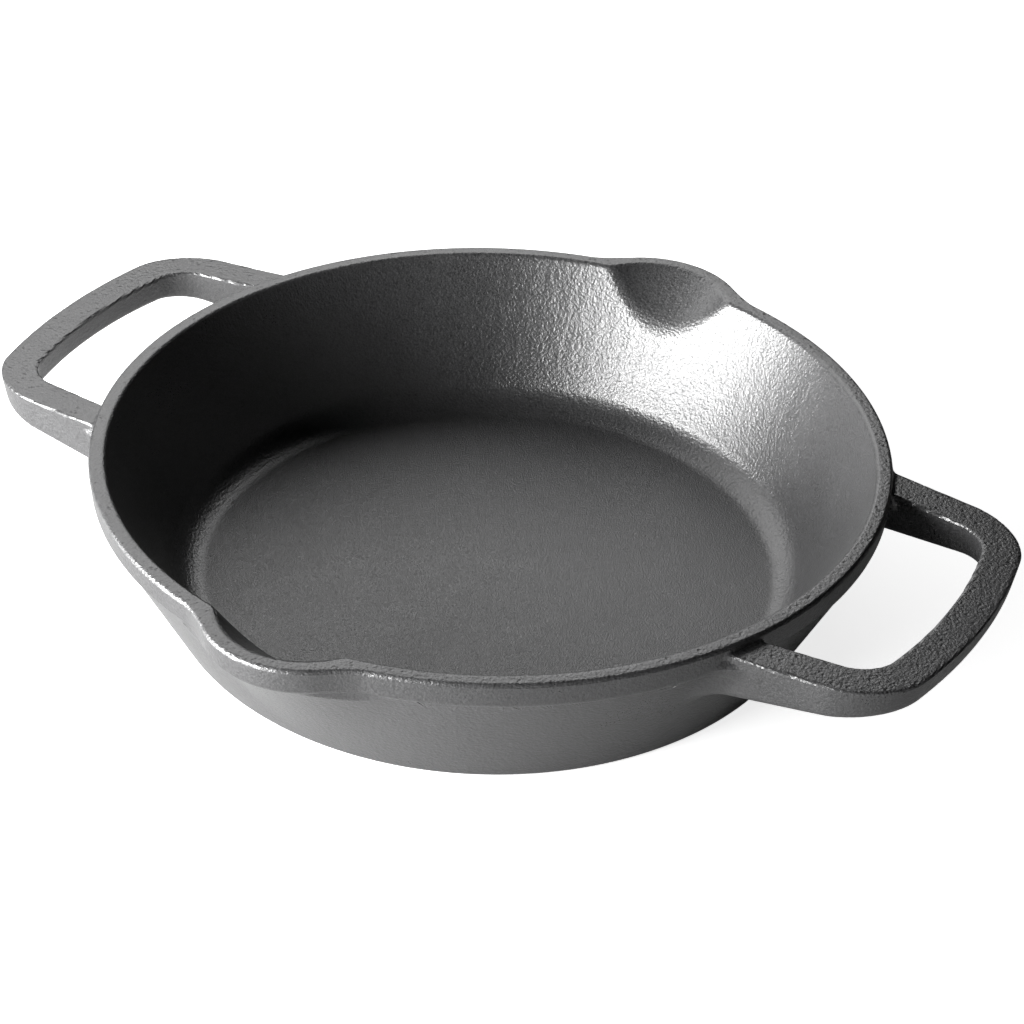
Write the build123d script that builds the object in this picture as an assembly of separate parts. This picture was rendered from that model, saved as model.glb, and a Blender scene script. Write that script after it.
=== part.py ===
from build123d import *
import math
import os

# A two-handled cast iron skillet with two pour spouts.
#
# The real object is one iron casting. It is written as named regions of that casting, which meet
# face to face: floor, side wall, rim band, two spouts, and two loop handles of two arms and a grip.
#
# Frame: the origin is the centre of the underside, +X runs along the handles, +Y across the pan
# towards the back spout, +Z is up. Lengths are millimetres.

def slope(degrees_from_upright):
    """Sideways run for each millimetre of height."""
    return math.tan(math.radians(degrees_from_upright))


# Bowl
RIM_RADIUS = 130.0
HEIGHT = 54.5
RIM_WIDTH = 5.4
BAND_HEIGHT = 8.8
BAND_DRAFT = 0.8
LEDGE = 1.0
OUTER_LEAN = slope(26.7)
INNER_LEAN_DEGREES = 25.0
INNER_LEAN = slope(INNER_LEAN_DEGREES)
BASE_CORNER = 3.0
FLOOR_THICKNESS = 5.1
COVE_RADIUS = 10.0
RIM_OUTER_ROUND = 1.2
RIM_INNER_ROUND = 0.8

# Pour spouts, one at each end of the Y axis
TROUGH_REACH = 134.8
TROUGH_ROUND = 28.0
TROUGH_LEAN = slope(48.0)
TROUGH_NARROWING = 0.52
LIP_THICKNESS = 5.5
RUN_IN_ROUND = 10.0
BULGE_DEPTH = 26.0
CREASE_ROUND = 1.5
BULGE_BLEND = 7.0

# Loop handles, one at each end of the X axis. Y of the arm sides is given at two X stations.
GRIP_INNER = 161.2
GRIP_OUTER = 173.7
ROOT_X = 127.0
END_X = 152.0
ARM_INNER_Y = (45.7, 42.7)
ARM_OUTER_Y = (57.7, 55.4)
GRIP_OUTER_LEAN = slope(10.2)
GRIP_INNER_LEAN = slope(5.7)
ARM_OUTER_LEAN = slope(3.4)
ARM_INNER_LEAN = slope(5.7)
WINDOW_CORNER = 8.7
OUTER_CORNER = 17.0
HANDLE_TOP = (HEIGHT - 3.2, HEIGHT - 4.0)
HANDLE_UNDERSIDE = (HEIGHT - 18.2, HEIGHT - 15.5)
HANDLE_EDGE_ROUND = 1.6
HANDLE_START_X = 90.0
HANDLE_BLANK_DEPTH = 30.0

# Where the casting is divided
SPOUT_HALF_WIDTH = 34.0
SPOUT_DEPTH = 32.0

# Derived
BAND_BOTTOM = HEIGHT - BAND_HEIGHT
BAND_BOTTOM_RADIUS = RIM_RADIUS - BAND_DRAFT
WALL_TOP_RADIUS = BAND_BOTTOM_RADIUS - LEDGE
BASE_RADIUS = WALL_TOP_RADIUS - (BAND_BOTTOM - LEDGE) * OUTER_LEAN
RIM_INNER_RADIUS = RIM_RADIUS - RIM_WIDTH
FOOT_RADIUS = RIM_INNER_RADIUS - (HEIGHT - FLOOR_THICKNESS) * INNER_LEAN
COVE_RUN = COVE_RADIUS * math.tan(math.radians(90 - INNER_LEAN_DEGREES) / 2)
FLOOR_RADIUS = FOOT_RADIUS - COVE_RUN
SIDES = {"front": -1, "back": 1}
ENDS = {"left": -1, "right": 1}
BEYOND = 200.0
ABOVE_RIM = 4.0


def half_turn(shape, side):
    """The shape as built on the plus side, or given half a turn about Z for the minus side."""
    return shape if side > 0 else Rot(0, 0, 180) * shape


def revolved(points, rounded_point, radius):
    """A solid of revolution about Z from points (radius, height), with one of them rounded."""
    section = make_face(Polyline(*points, close=True))
    target = Vector(*rounded_point)
    corner = section.vertices().sort_by(lambda v: (Vector(v.X, v.Y) - target).length)[0]
    return revolve(Plane.XZ * fillet(corner, radius), Axis.Z)


def leaning_cone(reach, radius, depths):
    """A cone between two depths below the rim, whose outermost line leans in as the spouts do."""
    discs = []
    for depth in depths:
        below = depth - depths[0]
        disc_radius = radius - TROUGH_NARROWING * below
        disc_reach = reach - TROUGH_LEAN * below
        discs.append(Pos(0, disc_reach - disc_radius, HEIGHT - depth) * Circle(disc_radius))
    return loft(discs[::-1])


def both_spouts(shape):
    """The shape at the back spout and its half turn at the front one."""
    return shape + half_turn(shape, -1)


def band():
    """The upright rim band, with both lips, widening slightly to the top."""
    lip = Pos(0, TROUGH_REACH - TROUGH_ROUND, 0) * Circle(TROUGH_ROUND + LIP_THICKNESS)
    outline = Circle(RIM_RADIUS) + both_spouts(lip)
    outline = fillet(outline.vertices(), RUN_IN_ROUND)
    draft = math.degrees(math.atan(BAND_DRAFT / BAND_HEIGHT))
    return extrude(Pos(0, 0, HEIGHT) * outline, -BAND_HEIGHT, taper=draft)


def spout_edges(shape):
    """The long curved edges where a spout's cone meets the round wall."""
    curved = shape.edges().filter_by(GeomType.BSPLINE)
    return curved.filter_by(lambda e: e.length > 40 and e.center().Z < BAND_BOTTOM)


def wall():
    """The leaning wall under the band, filled in, with a bulge under each lip."""
    round_wall = revolved(
        [
            (0, 0),
            (BASE_RADIUS, 0),
            (WALL_TOP_RADIUS, BAND_BOTTOM - LEDGE),
            (BAND_BOTTOM_RADIUS, BAND_BOTTOM),
            (0, BAND_BOTTOM),
        ],
        (BASE_RADIUS, 0),
        BASE_CORNER,
    )
    inset = BAND_DRAFT + LEDGE
    bulge = leaning_cone(
        TROUGH_REACH + LIP_THICKNESS - inset,
        TROUGH_ROUND + LIP_THICKNESS - inset,
        (BAND_HEIGHT, BULGE_DEPTH),
    )
    bulged = round_wall + both_spouts(bulge)
    return fillet(spout_edges(bulged), BULGE_BLEND)


def cup():
    """The pan without handles."""
    bowl_inside = revolved(
        [
            (0, FLOOR_THICKNESS),
            (FOOT_RADIUS, FLOOR_THICKNESS),
            (RIM_INNER_RADIUS + ABOVE_RIM * INNER_LEAN, HEIGHT + ABOVE_RIM),
            (0, HEIGHT + ABOVE_RIM),
        ],
        (FOOT_RADIUS, FLOOR_THICKNESS),
        COVE_RADIUS,
    )
    trough = leaning_cone(
        TROUGH_REACH + TROUGH_LEAN * ABOVE_RIM,
        TROUGH_ROUND + TROUGH_NARROWING * ABOVE_RIM,
        (-ABOVE_RIM, BULGE_DEPTH),
    )
    pan = wall() + band() - bowl_inside - both_spouts(trough)
    pan = fillet(spout_edges(pan), CREASE_ROUND)
    rim = pan.faces().sort_by(Axis.Z)[-1]
    pan = fillet(rim.outer_wire().edges(), RIM_OUTER_ROUND)
    rim = pan.faces().sort_by(Axis.Z)[-1]
    return fillet(rim.inner_wires()[0].edges(), RIM_INNER_ROUND)


def along(pair, x):
    """The value at x of a line that takes the pair's values at ROOT_X and END_X."""
    return pair[0] + (pair[1] - pair[0]) * (x - ROOT_X) / (END_X - ROOT_X)


def loop_outline(arm_y, reach, corner):
    """Plan outline of a loop: two slightly converging sides closed by an arc about the pan's axis."""
    far = reach + corner
    wedge = Polyline(
        (HANDLE_START_X, -along(arm_y, HANDLE_START_X)),
        (far, -along(arm_y, far)),
        (far, along(arm_y, far)),
        (HANDLE_START_X, along(arm_y, HANDLE_START_X)),
        close=True,
    )
    face = make_face(wedge) & Circle(reach)
    corners = face.vertices().filter_by(lambda v: v.X > END_X - corner)
    return fillet(corners, corner)


def leaning_loop(arm_y, reach, corner, arm_lean, reach_lean):
    """A loop outline run down from the handle's top, leaning in by the given slopes."""
    top = along(HANDLE_TOP, GRIP_OUTER)
    low_arm_y = [y - HANDLE_BLANK_DEPTH * arm_lean for y in arm_y]
    low_reach = reach - HANDLE_BLANK_DEPTH * reach_lean
    upper = Pos(0, 0, top) * loop_outline(arm_y, reach, corner)
    lower = Pos(0, 0, top - HANDLE_BLANK_DEPTH) * loop_outline(low_arm_y, low_reach, corner)
    return loft([lower, upper])


def loop_handle():
    """The right handle, reaching into the pan. Its sides draw in towards the underside."""
    outside = leaning_loop(ARM_OUTER_Y, GRIP_OUTER, OUTER_CORNER, ARM_OUTER_LEAN, GRIP_OUTER_LEAN)
    window = leaning_loop(ARM_INNER_Y, GRIP_INNER, WINDOW_CORNER, -ARM_INNER_LEAN, -GRIP_INNER_LEAN)
    side_view = Polyline(
        (HANDLE_START_X, along(HANDLE_UNDERSIDE, HANDLE_START_X)),
        (BEYOND, along(HANDLE_UNDERSIDE, BEYOND)),
        (BEYOND, along(HANDLE_TOP, BEYOND)),
        (HANDLE_START_X, along(HANDLE_TOP, HANDLE_START_X)),
        close=True,
    )
    slab = extrude(Plane.XZ * make_face(side_view), BEYOND, both=True)
    return fillet(((outside - window) & slab).edges(), HANDLE_EDGE_ROUND)


def block(low, high):
    """A box between two corners."""
    size = [top - bottom for bottom, top in zip(low, high)]
    middle = [(top + bottom) / 2 for bottom, top in zip(low, high)]
    return Pos(*middle) * Box(*size)


def pan_regions():
    """The pan cut into floor, wall, rim band and the two spouts."""
    pan = cup()
    back = block(
        (-SPOUT_HALF_WIDTH, 0, HEIGHT - SPOUT_DEPTH),
        (SPOUT_HALF_WIDTH, BEYOND, HEIGHT + 1),
    )
    spouts = both_spouts(back)
    floor_core = Cylinder(FLOOR_RADIUS, HEIGHT, align=(Align.CENTER, Align.CENTER, Align.MIN))
    above_wall = block((-BEYOND, -BEYOND, BAND_BOTTOM), (BEYOND, BEYOND, HEIGHT + 1))
    ring = pan - spouts - floor_core
    regions = {
        "base_floor": pan & floor_core,
        "side_wall": ring - above_wall,
        "rim_band": ring & above_wall,
    }
    for name, side in SIDES.items():
        regions["pour_spout_" + name] = pan & half_turn(back, side)
    return regions


def handle_regions():
    """Each loop handle, outside the pan, cut into its grip and two arms."""
    loop = loop_handle() - (wall() + band())
    past_arms = block((END_X, -BEYOND, 0), (BEYOND, BEYOND, HEIGHT))
    arms = loop - past_arms
    regions = {}
    for end, turn in ENDS.items():
        regions[f"handle_{end}_grip"] = half_turn(loop & past_arms, turn)
        for side, sign in SIDES.items():
            half = block((0, 0, 0), (BEYOND, BEYOND, HEIGHT))
            quarter = half if sign * turn > 0 else mirror(half, Plane.XZ)
            regions[f"handle_{end}_arm_{side}"] = half_turn(arms & quarter, turn)
    return regions


os.makedirs("parts", exist_ok=True)
for node, shape in {**pan_regions(), **handle_regions()}.items():
    export_step(shape, f"parts/{node}.step")
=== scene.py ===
import bmesh
import bpy
import math
import numpy as np
import openvdb
from mathutils import Matrix, Vector


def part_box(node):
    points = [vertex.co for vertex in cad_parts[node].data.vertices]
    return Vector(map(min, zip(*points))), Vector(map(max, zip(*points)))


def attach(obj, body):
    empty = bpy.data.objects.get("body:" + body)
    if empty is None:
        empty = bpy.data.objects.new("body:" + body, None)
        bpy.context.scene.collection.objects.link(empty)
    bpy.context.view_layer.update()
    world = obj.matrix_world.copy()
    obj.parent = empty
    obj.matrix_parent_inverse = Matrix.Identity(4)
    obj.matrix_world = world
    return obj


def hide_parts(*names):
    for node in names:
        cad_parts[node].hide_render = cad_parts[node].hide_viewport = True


# A seasoned cast iron skillet with two loop handles and two pour spouts, on a plain pale floor.
#
# The casting is described once, as a signed distance: below zero inside the iron. It is meshed as one
# surface, so that every blend is smooth, and then cut into the pieces that stand for the CAD nodes.
# Lengths are metres in the row frame: +X along the handles, +Y towards the back spout, +Z up.

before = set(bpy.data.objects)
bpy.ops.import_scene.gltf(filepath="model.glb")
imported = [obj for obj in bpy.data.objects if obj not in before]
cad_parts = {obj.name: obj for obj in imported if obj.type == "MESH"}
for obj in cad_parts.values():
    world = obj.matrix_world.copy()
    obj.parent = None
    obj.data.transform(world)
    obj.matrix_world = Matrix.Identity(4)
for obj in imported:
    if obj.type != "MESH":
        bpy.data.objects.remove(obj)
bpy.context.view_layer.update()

MM = 0.001


def lean(degrees_from_upright):
    """Sideways run for each unit of height."""
    return math.tan(math.radians(degrees_from_upright))


# ---------------------------------------------------------------- sizes, from the CAD nodes
BAND_LOW, BAND_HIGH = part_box("rim_band")
_, FLOOR_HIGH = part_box("base_floor")
SPOUT_LOW, SPOUT_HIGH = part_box("pour_spout_back")
GRIP_LOW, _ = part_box("handle_right_grip")

HEIGHT = BAND_HIGH[2]
BAND_BOTTOM = BAND_LOW[2]
BAND_HEIGHT = HEIGHT - BAND_BOTTOM
FLOOR_TOP = FLOOR_HIGH[2]
FLOOR_RADIUS = FLOOR_HIGH[0]

# Bowl
RIM_WIDTH = 5.4 * MM
BAND_DRAFT = 0.8 * MM
LEDGE = 1.1 * MM
OUTER_LEAN = lean(26.7)
INNER_LEAN = lean(25.0)
BASE_CORNER = 3.0 * MM
COVE_RADIUS = 7.5 * MM
RIM_OUTER_ROUND = 1.7 * MM
RIM_INNER_ROUND = 1.0 * MM
LEDGE_ROUND = 1.2 * MM
# The drafted band is widest just under its rounded edge, this much short of the sharp corner.
WIDEST_SHORT = BAND_DRAFT * RIM_OUTER_ROUND / BAND_HEIGHT
RIM_RADIUS = BAND_HIGH[0] + WIDEST_SHORT

# Pour spouts
TROUGH_REACH = RIM_RADIUS + 4.8 * MM
TROUGH_ROUND = 27.7 * MM
TROUGH_LEAN = lean(48.0)
TROUGH_NARROWING = 0.52
TROUGH_END = 30.0 * MM
LIP_THICKNESS = SPOUT_HIGH[1] + WIDEST_SHORT - TROUGH_REACH
RUN_IN_ROUND = 4.5 * MM
BULGE_LEAN = lean(48.0)
BULGE_NARROWING = 0.52
BULGE_BLEND = 10.0 * MM
CREASE_ROUND = 1.4 * MM

# Loop handles. Y of the arm sides and Z of the faces are given at two X stations.
ROOT_X = 127.0 * MM
END_X = GRIP_LOW[0]
GRIP_INNER = 161.2 * MM
GRIP_OUTER = 173.7 * MM
GRIP_LEAN = lean(10.2)
ARM_INNER_Y = (45.7 * MM, 42.7 * MM)
ARM_OUTER_Y = (57.7 * MM, 55.4 * MM)
ARM_INNER_LEAN = lean(5.7)
ARM_OUTER_LEAN = lean(3.4)
GRIP_INNER_LEAN = lean(5.7)
WINDOW_CORNER = 8.7 * MM
OUTER_CORNER = 17.0 * MM
HANDLE_TOP = (HEIGHT - 3.2 * MM, HEIGHT - 4.0 * MM)
HANDLE_UNDERSIDE = (HEIGHT - 18.2 * MM, HEIGHT - 15.5 * MM)
HANDLE_EDGE_ROUND = 0.9 * MM
HANDLE_UNDER_ROUND = 2.5 * MM
ROOT_BLEND = 3.6 * MM
ROOT_FLARE = 2.6 * MM
ROOT_TOP_SHARE = 0.3
ARM_HALF_WIDTH = 6.0 * MM

# Where the casting is cut into pieces, besides the CAD nodes' own borders
ARM_CUT_X = 124.6 * MM
ARM_CUT_Y = (38.0 * MM, 66.0 * MM)
SPOUT_CUT_Y = 60.0 * MM
CUT_OVERRUN = 5.0 * MM
CUT_CLEARANCE = 20.0 * MM

# Meshing
VOXEL = 0.8 * MM
ADAPTIVITY = 0.003
MARGIN_VOXELS = 3
DRAWING_PASSES = 4
LEAST_STEEPNESS = 0.3
SLOPE_STEP = 0.02 * MM
NEVER_ZERO = 0.001 * MM
CUT_FACE_DEPTH = 0.3 * MM
CUT_FACE_AGREEMENT = 0.7
SLIVER_AREA = (0.05 * MM) ** 2

# Finish: width and depth of each layer of relief, the painted shade in the pits, and the oiled surface
COARSE_GRAIN = 0.75 * MM
COARSE_DEPTH = 0.13 * MM
PEBBLE = 1.2 * MM
PEBBLE_DEPTH = 0.11 * MM
FINE_GRAIN = 0.45 * MM
FINE_DEPTH = 0.05 * MM
SWELL = 14.0 * MM
SWELL_DEPTH = 0.12 * MM
PIT_SPACING = 2.6 * MM
PIT_RADIUS = 0.9 * MM
PIT_DEPTH = 0.10 * MM
# Painted shade: share of the iron's colour kept at the middle of each pit.
PIT_PAINTED_SHADE = 0.6
OIL_PATCH = 30.0 * MM
NOISE_SPREAD = (0.3, 0.7)
SPECKLE_SPREAD = (0.35, 0.65)
BASE_GREY = 0.04
BLUE_TINT = 1.02
PATCH_SHADES = (0.93, 1.07)
SPECKLE_SHADES = (0.7, 1.3)
ROUGHNESS = 0.34
PATCH_ROUGHNESS = 0.02
SPECKLE_ROUGHNESS = 0.05
IRON_IOR = 1.8

# Finish of the cooking floor and of the tops of rim and handles, and where each fades in
FLOOR_FINE_DEPTH = 0.2 * MM
FLOOR_COARSE_SHARE = 0.15
FLOOR_SPECULAR = 0.44
WALL_SPECULAR = 0.5
FLOOR_FADE_RADII = (FLOOR_RADIUS + 2 * MM, FLOOR_RADIUS - 3 * MM)
FLOOR_FADE_HEIGHTS = (FLOOR_TOP + 3 * MM, FLOOR_TOP + 1 * MM)
TOPS_COARSE_SHARE = 0.85
TOPS_FACING = (0.6, 0.9)
TOPS_FADE_HEIGHTS = (20 * MM, 30 * MM)

# Camera. Azimuth 0 is towards -Y and 90 towards +X.
CAMERA_AZIMUTH_DEGREES = 29.41
CAMERA_ELEVATION_DEGREES = 34.10
CAMERA_DISTANCE = 0.9149
CAMERA_AIM = Vector((0.0263, -0.0318, HEIGHT))
CAMERA_ROLL = math.radians(1.81)
CAMERA_LENS = 102.8
CAMERA_SENSOR = 36.0

# Softboxes: azimuth from the camera's and elevation in degrees, size in metres, power in watts
SOFTBOX_DISTANCE = 0.8
SOFTBOXES = {
    "key": (-66, 12, (0.9, 0.4), 34),
    "back": (-160, 36, (1.0, 0.45), 3.5),
}

# Floor sheets: depth under the pan, grey, glow, and whether it is the one that is seen
FLOOR_SHEETS = {
    "floor": (0.0, 0.9, 0.8, True),
    "floor_bounce": (0.1 * MM, 0.6, 0.0, False),
}
FLOOR_REACH = 3.0
FLOOR_THICKNESS = 0.02
FLOOR_ROUGHNESS = 0.9
BACKDROP_GREY = 0.9


# ---------------------------------------------------------------- the casting as a signed distance
def joined(a, b, radius):
    """Union of two shapes with a fillet in the corner between them."""
    return np.maximum(radius, np.minimum(a, b)) - np.hypot(
        np.maximum(radius - a, 0), np.maximum(radius - b, 0)
    )


def shared(a, b, radius):
    """What lies in both shapes, with the edge between them rounded."""
    return np.minimum(-radius, np.maximum(a, b)) + np.hypot(
        np.maximum(radius + a, 0), np.maximum(radius + b, 0)
    )


def at_station(pair, x):
    """The value at x of a line that takes the pair's values at ROOT_X and END_X."""
    return pair[0] + (pair[1] - pair[0]) * (x - ROOT_X) / (END_X - ROOT_X)


def leaning_cone(x, y, depth, reach, radius, lean_in, narrowing):
    """A round cone whose outermost line leans in under a spout as depth grows."""
    ahead = y - reach + radius + (lean_in - narrowing) * depth
    across = np.maximum(np.hypot(x, ahead), NEVER_ZERO)
    steepness = ahead / across * (lean_in - narrowing) + narrowing
    return (across - radius + narrowing * depth) / np.sqrt(1 + steepness**2)


def pan_outside(x, y, z, radial):
    """The pan filled in: leaning wall with a bulge under each lip, and the upright rim band."""
    depth = HEIGHT - z
    below_band = depth - BAND_HEIGHT
    narrowing = BAND_DRAFT * depth / BAND_HEIGHT
    rim = radial - RIM_RADIUS + narrowing
    lip = np.hypot(x, y - TROUGH_REACH + TROUGH_ROUND) - TROUGH_ROUND - LIP_THICKNESS + narrowing
    rim_outline = joined(rim, lip, RUN_IN_ROUND)
    band = shared(rim_outline, below_band, LEDGE_ROUND)
    wall_radius = RIM_RADIUS - BAND_DRAFT - LEDGE - below_band * OUTER_LEAN
    wall = (radial - wall_radius) / math.hypot(1, OUTER_LEAN)
    inset = BAND_DRAFT + LEDGE
    bulge_reach = TROUGH_REACH + LIP_THICKNESS - inset
    bulge_round = TROUGH_ROUND + LIP_THICKNESS - inset
    bulge = leaning_cone(x, y, below_band, bulge_reach, bulge_round, BULGE_LEAN, BULGE_NARROWING)
    wall = np.maximum(joined(wall, bulge, BULGE_BLEND), rim_outline + LEDGE)
    return shared(shared(joined(wall, band, LEDGE_ROUND), -depth, RIM_OUTER_ROUND), -z, BASE_CORNER)


def bowl_inside(x, y, z, radial):
    """The hollow: leaning inner wall, coved floor and the two troughs."""
    depth = HEIGHT - z
    wall = (radial - RIM_RADIUS + RIM_WIDTH + depth * INNER_LEAN) / math.hypot(1, INNER_LEAN)
    bowl = shared(wall, FLOOR_TOP - z, COVE_RADIUS)
    trough = leaning_cone(x, y, depth, TROUGH_REACH, TROUGH_ROUND, TROUGH_LEAN, TROUGH_NARROWING)
    return joined(bowl, np.maximum(trough, depth - TROUGH_END), CREASE_ROUND)


def loop_handles(x, y, z, radial):
    """Both loops: two arms and a grip about a finger window."""
    top = at_station(HANDLE_TOP, x)
    grip_radius = GRIP_OUTER - (at_station(HANDLE_TOP, GRIP_OUTER) - z) * GRIP_LEAN
    grip_outside = (radial - grip_radius) / math.hypot(1, GRIP_LEAN)
    drop = top - z
    arm_outside = y - at_station(ARM_OUTER_Y, x) + ARM_OUTER_LEAN * drop
    outline = shared(arm_outside, grip_outside, OUTER_CORNER)
    arm_inside = y - at_station(ARM_INNER_Y, x) - ARM_INNER_LEAN * drop
    window = shared(arm_inside, radial - GRIP_INNER - GRIP_INNER_LEAN * drop, WINDOW_CORNER)
    loop = shared(np.maximum(outline, -window), z - top, HANDLE_EDGE_ROUND)
    return shared(loop, at_station(HANDLE_UNDERSIDE, x) - z, HANDLE_UNDER_ROUND)


def casting(x, y, z):
    """Signed distance to the whole casting, the same in each quarter of the plan."""
    x, y = np.abs(x), np.abs(y)
    radial = np.hypot(x, y)
    arm_middle = at_station(ARM_INNER_Y, x) / 2 + at_station(ARM_OUTER_Y, x) / 2
    towards_outside = np.clip((y - arm_middle) / ARM_HALF_WIDTH, 0, 1)
    below_handle_top = np.clip((HANDLE_TOP[0] - z) / ROOT_BLEND, ROOT_TOP_SHARE, 1)
    blend = (ROOT_BLEND + ROOT_FLARE * towards_outside) * below_handle_top
    iron = joined(pan_outside(x, y, z, radial), loop_handles(x, y, z, radial), blend)
    iron = np.maximum(iron, z - HEIGHT)
    return shared(iron, -bowl_inside(x, y, z, radial), RIM_INNER_ROUND)


def slope_of(points):
    """Unit outward normals of the casting at points, and how fast the distance grows along them."""
    grown = []
    for axis in range(3):
        offset = np.zeros(3)
        offset[axis] = SLOPE_STEP
        grown.append(casting(*(points + offset).T) - casting(*(points - offset).T))
    gradient = np.stack(grown, axis=1) / (2 * SLOPE_STEP)
    length = np.linalg.norm(gradient, axis=1, keepdims=True)
    return gradient / np.maximum(length, NEVER_ZERO), length[:, 0]


# ---------------------------------------------------------------- meshing and cutting
def mesh_of_casting():
    """The casting's surface as a closed mesh, with its vertices drawn exactly onto the surface."""
    extent = np.array([GRIP_OUTER, SPOUT_HIGH[1], HEIGHT / 2])
    reach = np.ceil(extent / VOXEL + MARGIN_VOXELS).astype(int)
    across, along, up = (np.arange(n + 1) * VOXEL for n in (reach[0], reach[1], 2 * reach[2]))
    margin = MARGIN_VOXELS * VOXEL
    quarter = casting(*np.meshgrid(across, along, up - margin, indexing="ij"))
    quarter = np.clip(quarter, -margin, margin)
    half = np.concatenate([quarter[:0:-1], quarter])
    whole = np.concatenate([half[:, :0:-1], half], axis=1)
    grid = openvdb.FloatGrid(background=margin)
    grid.copyFromArray(whole.astype(np.float32), ijk=(-reach[0], -reach[1], -MARGIN_VOXELS))
    grid.transform = openvdb.createLinearTransform(voxelSize=VOXEL)
    points, triangles, quads = grid.convertToPolygons(isovalue=0.0, adaptivity=ADAPTIVITY)
    points = points.astype(float)
    for _ in range(DRAWING_PASSES):
        normal, steepness = slope_of(points)
        step = casting(*points.T) / np.maximum(steepness, LEAST_STEEPNESS)
        points -= normal * np.clip(step, -VOXEL, VOXEL)[:, None]
    mesh = bpy.data.meshes.new("casting")
    faces = [tuple(face[::-1]) for face in triangles.tolist() + quads.tolist()]
    mesh.from_pydata(points.tolist(), [], faces)
    mesh.update()
    return mesh


def box_mesh(low, high):
    """A box between two corners."""
    bm = bmesh.new()
    bmesh.ops.create_cube(bm, size=1)
    for v in bm.verts:
        v.co = [low[i] if v.co[i] < 0 else high[i] for i in range(3)]
    return finished(bm)


def cylinder_mesh(radius, low_z, high_z, sides=360):
    """An upright cylinder about the origin."""
    bm = bmesh.new()
    bmesh.ops.create_cone(
        bm, cap_ends=True, segments=sides, radius1=radius, radius2=radius, depth=high_z - low_z
    )
    bmesh.ops.translate(bm, verts=bm.verts, vec=(0, 0, (low_z + high_z) / 2))
    return finished(bm)


def finished(bm):
    """A mesh from an edited one, which is freed."""
    mesh = bpy.data.meshes.new("cutter")
    bm.to_mesh(mesh)
    bm.free()
    return mesh


def cut(mesh, cutter, operation):
    """The mesh kept inside the cutter (INTERSECT) or outside it (DIFFERENCE)."""
    solid = bpy.data.objects.new("solid", mesh)
    tool = bpy.data.objects.new("tool", cutter)
    for made in (solid, tool):
        bpy.context.collection.objects.link(made)
    boolean = solid.modifiers.new("cut", "BOOLEAN")
    boolean.solver = "MANIFOLD"
    boolean.operation = operation
    boolean.object = tool
    bpy.context.view_layer.update()
    result = bpy.data.meshes.new_from_object(solid.evaluated_get(bpy.context.evaluated_depsgraph_get()))
    for made in (solid, tool):
        bpy.data.objects.remove(made)
    return result


def read(items, attribute, width, kind=float):
    """One attribute of every vertex, corner or face of a mesh, as an array of rows."""
    values = np.empty(len(items) * width, kind)
    items.foreach_get(attribute, values)
    return values.reshape(-1, width)


def set_normals(mesh):
    """Gives surface faces the casting's exact normals, and leaves the flat cut faces flat."""
    corners = read(mesh.loops, "vertex_index", 1, int)[:, 0]
    surface, _ = slope_of(read(mesh.vertices, "co", 3))
    flat = read(mesh.polygons, "normal", 3)
    centres = read(mesh.polygons, "center", 3)
    expected, _ = slope_of(centres)
    agreement = (expected * flat).sum(axis=1)
    areas = read(mesh.polygons, "area", 1)[:, 0]
    turned_away = (agreement < CUT_FACE_AGREEMENT) & (areas > SLIVER_AREA)
    is_cut = turned_away | (np.abs(casting(*centres.T)) > CUT_FACE_DEPTH)
    corner_counts = read(mesh.polygons, "loop_total", 1, int)[:, 0]
    face_of = np.repeat(np.arange(len(corner_counts)), corner_counts)
    normals = np.where(is_cut[face_of, None], flat[face_of], surface[corners])
    mesh.polygons.foreach_set("use_smooth", np.ones(len(corner_counts), bool))
    mesh.normals_split_custom_set(normals.tolist())


def ordered(a, b):
    """Lowest and highest corner of the box between two points."""
    return np.minimum(a, b), np.maximum(a, b)


def cutters():
    """What each node's piece is cut out with, by node name and in the order of cutting."""
    high = HEIGHT + CUT_CLEARANCE
    far = GRIP_OUTER + CUT_CLEARANCE
    made = {}
    for end, x_sign in (("left", -1), ("right", 1)):
        grip_box = ordered((END_X * x_sign, -far, 0), (far * x_sign, far, high))
        made[f"handle_{end}_grip"] = box_mesh(*grip_box)
        for side, y_sign in (("front", -1), ("back", 1)):
            near = (ARM_CUT_X * x_sign, ARM_CUT_Y[0] * y_sign, 0)
            beyond = ((END_X + CUT_OVERRUN) * x_sign, ARM_CUT_Y[1] * y_sign, high)
            made[f"handle_{end}_arm_{side}"] = box_mesh(*ordered(near, beyond))
    for side, y_sign in (("front", -1), ("back", 1)):
        near = (-SPOUT_HIGH[0], SPOUT_CUT_Y * y_sign, SPOUT_LOW[2])
        beyond = (SPOUT_HIGH[0], far * y_sign, high)
        made[f"pour_spout_{side}"] = box_mesh(*ordered(near, beyond))
    made["base_floor"] = cylinder_mesh(FLOOR_RADIUS, -high, high)
    made["rim_band"] = box_mesh((-far, -far, BAND_BOTTOM), (far, far, high))
    return made


def cast_pieces():
    """The casting cut into one closed mesh for each CAD node, by node name."""
    rest = mesh_of_casting()
    pieces = {}
    for node, cutter in cutters().items():
        pieces[node] = cut(rest, cutter, "INTERSECT")
        rest = cut(rest, cutter, "DIFFERENCE")
    pieces["side_wall"] = rest
    return pieces


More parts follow.
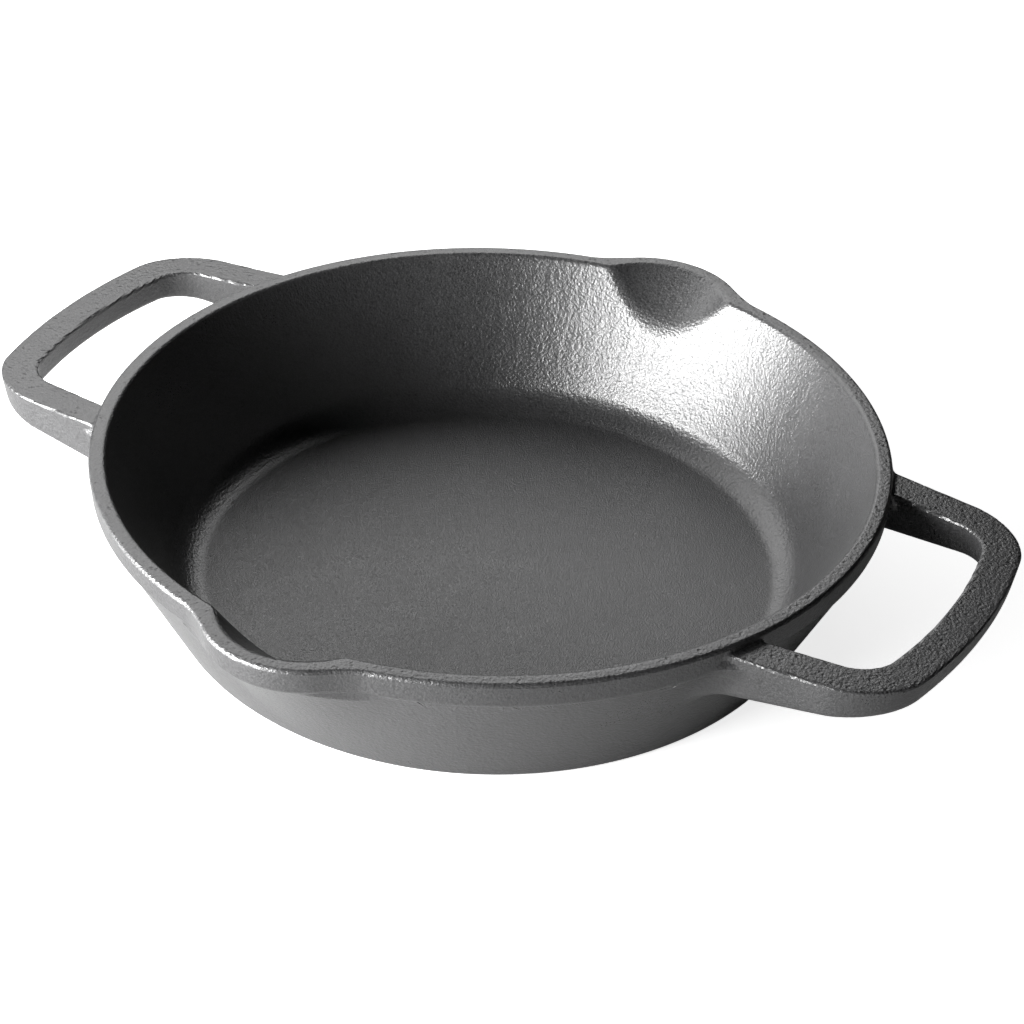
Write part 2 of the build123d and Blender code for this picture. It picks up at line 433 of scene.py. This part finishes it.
# ---------------------------------------------------------------- material
class Shading:
    """A material's node tree with short ways to add and join nodes."""

    def __init__(self, name):
        self.material = bpy.data.materials.new(name)
        self.material.use_nodes = True
        self.nodes = self.material.node_tree.nodes
        self.links = self.material.node_tree.links
        self.shader = self.nodes["Principled BSDF"]

    def feed(self, socket, value):
        """Links an output to a socket, or sets a constant on it."""
        if isinstance(value, bpy.types.NodeSocket):
            self.links.new(value, socket)
        else:
            socket.default_value = value

    def math(self, operation, *values):
        """The result of a Math node."""
        node = self.nodes.new("ShaderNodeMath")
        node.operation = operation
        for socket, value in zip(node.inputs, values):
            self.feed(socket, value)
        return node.outputs["Value"]

    def noise(self, place, cell, detail=2.0, roughness=0.5):
        """Soft noise from 0 to 1 on a lattice of cells."""
        node = self.nodes.new("ShaderNodeTexNoise")
        self.feed(node.inputs["Vector"], place)
        self.feed(node.inputs["Scale"], 1 / cell)
        self.feed(node.inputs["Detail"], detail)
        self.feed(node.inputs["Roughness"], roughness)
        return node.outputs["Fac"]

    def ramp(self, value, source, target=(0.0, 1.0)):
        """The value carried smoothly from the source range to the target one, and held at its ends."""
        node = self.nodes.new("ShaderNodeMapRange")
        node.interpolation_type = "SMOOTHSTEP"
        for socket, number in zip(node.inputs, (value, *source, *target)):
            self.feed(socket, number)
        return node.outputs["Result"]

    def axes(self, vector):
        """The X, Y and Z outputs of a vector."""
        node = self.nodes.new("ShaderNodeSeparateXYZ")
        self.feed(node.inputs["Vector"], vector)
        return node.outputs

    def scattered(self, place, cell, feature="F1"):
        """Distance from the nearest of many points scattered one to a cell, as a share of a cell."""
        node = self.nodes.new("ShaderNodeTexVoronoi")
        node.feature = feature
        self.feed(node.inputs["Vector"], place)
        self.feed(node.inputs["Scale"], 1 / cell)
        return node.outputs["Distance"]


def iron_material():
    """Black oil-seasoned cast iron: sand-cast grain, finer on the cooking floor, and small pits with
    painted shade.
    """
    iron = Shading("seasoned_iron")
    coordinates = iron.nodes.new("ShaderNodeTexCoord")
    place = coordinates.outputs["Object"]
    position = iron.axes(place)
    flat_place = iron.nodes.new("ShaderNodeCombineXYZ")
    for axis in "XY":
        iron.feed(flat_place.inputs[axis], position[axis])
    radial = iron.nodes.new("ShaderNodeVectorMath")
    radial.operation = "LENGTH"
    iron.feed(radial.inputs[0], flat_place.outputs["Vector"])

    inside_floor = iron.ramp(radial.outputs["Value"], FLOOR_FADE_RADII)
    low_down = iron.ramp(position["Z"], FLOOR_FADE_HEIGHTS)
    cooking_floor = iron.math("MULTIPLY", inside_floor, low_down)
    faces_up = iron.ramp(iron.axes(coordinates.outputs["Normal"])["Z"], TOPS_FACING)
    tops = iron.math("MULTIPLY", faces_up, iron.ramp(position["Z"], TOPS_FADE_HEIGHTS))

    coarse = iron.noise(place, COARSE_GRAIN, detail=1.0)
    fine = iron.noise(place, FINE_GRAIN, detail=1.0)
    swell = iron.noise(place, SWELL, detail=1.0)
    between_pebbles = iron.scattered(place, PEBBLE, "SMOOTH_F1")
    pitted = iron.ramp(iron.scattered(place, PIT_SPACING), (PIT_RADIUS / PIT_SPACING, 0.0))

    coarse_relief = iron.math("MULTIPLY", coarse, COARSE_DEPTH)
    coarse_relief = iron.math("MULTIPLY_ADD", between_pebbles, -PEBBLE_DEPTH, coarse_relief)
    share_on_floor = iron.ramp(cooking_floor, (0.0, 1.0), (1.0, FLOOR_COARSE_SHARE))
    share_on_tops = iron.ramp(tops, (0.0, 1.0), (1.0, TOPS_COARSE_SHARE))
    relief = iron.math("MULTIPLY", coarse_relief, iron.math("MULTIPLY", share_on_floor, share_on_tops))
    fine_depth = iron.ramp(cooking_floor, (0.0, 1.0), (FINE_DEPTH, FLOOR_FINE_DEPTH))
    relief = iron.math("MULTIPLY_ADD", fine, fine_depth, relief)
    relief = iron.math("MULTIPLY_ADD", swell, SWELL_DEPTH, relief)
    pit_depth = iron.math("MULTIPLY", tops, -PIT_DEPTH)
    relief = iron.math("MULTIPLY_ADD", pitted, pit_depth, relief)
    bump = iron.nodes.new("ShaderNodeBump")
    iron.feed(bump.inputs["Strength"], 1.0)
    iron.feed(bump.inputs["Distance"], 1.0)
    iron.feed(bump.inputs["Height"], relief)
    iron.feed(iron.shader.inputs["Normal"], bump.outputs["Normal"])

    patches = iron.noise(place, OIL_PATCH, detail=4.0, roughness=0.6)
    patch_range = (ROUGHNESS - PATCH_ROUGHNESS, ROUGHNESS + PATCH_ROUGHNESS)
    dullness = iron.ramp(patches, NOISE_SPREAD, patch_range)
    speckle = iron.ramp(fine, NOISE_SPREAD, (-SPECKLE_ROUGHNESS, SPECKLE_ROUGHNESS))
    iron.feed(iron.shader.inputs["Roughness"], iron.math("ADD", dullness, speckle))

    patch_shade = iron.ramp(patches, NOISE_SPREAD, PATCH_SHADES)
    speckle_shade = iron.ramp(fine, SPECKLE_SPREAD, SPECKLE_SHADES)
    shade = iron.math("MULTIPLY", patch_shade, speckle_shade)
    # Painted shade: the colour is darkened at each pit, although the pits are sunk in the relief only
    # on the tops.
    shade = iron.math("MULTIPLY", shade, iron.ramp(pitted, (0.0, 1.0), (1.0, PIT_PAINTED_SHADE)))
    grey = iron.nodes.new("ShaderNodeCombineColor")
    for channel, tint in (("Red", 1.0), ("Green", 1.0), ("Blue", BLUE_TINT)):
        iron.feed(grey.inputs[channel], iron.math("MULTIPLY", shade, BASE_GREY * tint))
    iron.feed(iron.shader.inputs["Base Color"], grey.outputs["Color"])
    iron.feed(iron.shader.inputs["IOR"], IRON_IOR)
    specular = iron.ramp(cooking_floor, (0.0, 1.0), (WALL_SPECULAR, FLOOR_SPECULAR))
    iron.feed(iron.shader.inputs["Specular IOR Level"], specular)
    return iron.material


# ---------------------------------------------------------------- stage, light and camera
def direction(azimuth, elevation):
    """Unit vector from the pan; azimuth 0 is towards -Y and 90 towards +X, in degrees."""
    a, e = math.radians(azimuth), math.radians(elevation)
    return Vector((math.sin(a) * math.cos(e), -math.cos(a) * math.cos(e), math.sin(e)))


def add_camera():
    """A long lens looking down over the front right of the pan, turned slightly clockwise."""
    data = bpy.data.cameras.new("camera")
    data.lens = CAMERA_LENS
    data.sensor_width = CAMERA_SENSOR
    camera = bpy.data.objects.new("camera", data)
    bpy.context.collection.objects.link(camera)
    back = direction(CAMERA_AZIMUTH_DEGREES, CAMERA_ELEVATION_DEGREES)
    camera.location = CAMERA_AIM + back * CAMERA_DISTANCE
    facing = (-back).to_track_quat("-Z", "Y").to_matrix().to_4x4()
    camera.rotation_euler = (facing @ Matrix.Rotation(CAMERA_ROLL, 4, "Z")).to_euler()
    bpy.context.scene.camera = camera


def add_softbox(name, from_camera, elevation, size, power):
    """A rectangular soft light aimed at the middle of the pan."""
    data = bpy.data.lights.new(name, "AREA")
    data.shape = "RECTANGLE"
    data.size, data.size_y = size
    data.energy = power
    light = bpy.data.objects.new(name, data)
    bpy.context.collection.objects.link(light)
    towards = direction(CAMERA_AZIMUTH_DEGREES + from_camera, elevation)
    light.location = Vector((0, 0, HEIGHT / 2)) + towards * SOFTBOX_DISTANCE
    light.rotation_euler = (-towards).to_track_quat("-Z", "Y").to_euler()


def add_floor(name, depth, grey, glow, seen):
    """One sheet of the pale floor: either seen by the camera, or unseen and lighting the iron."""
    low = (-FLOOR_REACH, -FLOOR_REACH, -FLOOR_THICKNESS - depth)
    mesh = box_mesh(low, (FLOOR_REACH, FLOOR_REACH, -depth))
    floor = bpy.data.objects.new(name, mesh)
    bpy.context.collection.objects.link(floor)
    white = Shading(name)
    white.feed(white.shader.inputs["Base Color"], (grey, grey, grey, 1))
    white.feed(white.shader.inputs["Roughness"], FLOOR_ROUGHNESS)
    white.feed(white.shader.inputs["Emission Color"], (1, 1, 1, 1))
    white.feed(white.shader.inputs["Emission Strength"], glow)
    mesh.materials.append(white.material)
    floor.visible_camera = seen
    floor.visible_shadow = not seen
    floor.visible_glossy = not seen
    floor.visible_diffuse = not seen


def add_world():
    """A pale backdrop that is seen but sheds no light, so the softboxes alone shape the iron."""
    world = bpy.data.worlds.new("studio")
    bpy.context.scene.world = world
    world.use_nodes = True
    background = world.node_tree.nodes["Background"]
    background.inputs["Color"].default_value = (BACKDROP_GREY, BACKDROP_GREY, BACKDROP_GREY, 1)
    background.inputs["Strength"].default_value = 1.0
    world.cycles_visibility.diffuse = False
    world.cycles_visibility.glossy = False


bpy.context.scene.view_settings.view_transform = "Standard"
iron = iron_material()
for node, mesh in cast_pieces().items():
    set_normals(mesh)
    mesh.materials.clear()
    mesh.materials.append(iron)
    piece = bpy.data.objects.new("cast_" + node, mesh)
    bpy.context.collection.objects.link(piece)
    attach(piece, "root")
    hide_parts(node)
for name, sheet in FLOOR_SHEETS.items():
    add_floor(name, *sheet)
add_world()
for name, softbox in SOFTBOXES.items():
    add_softbox(name, *softbox)
add_camera()
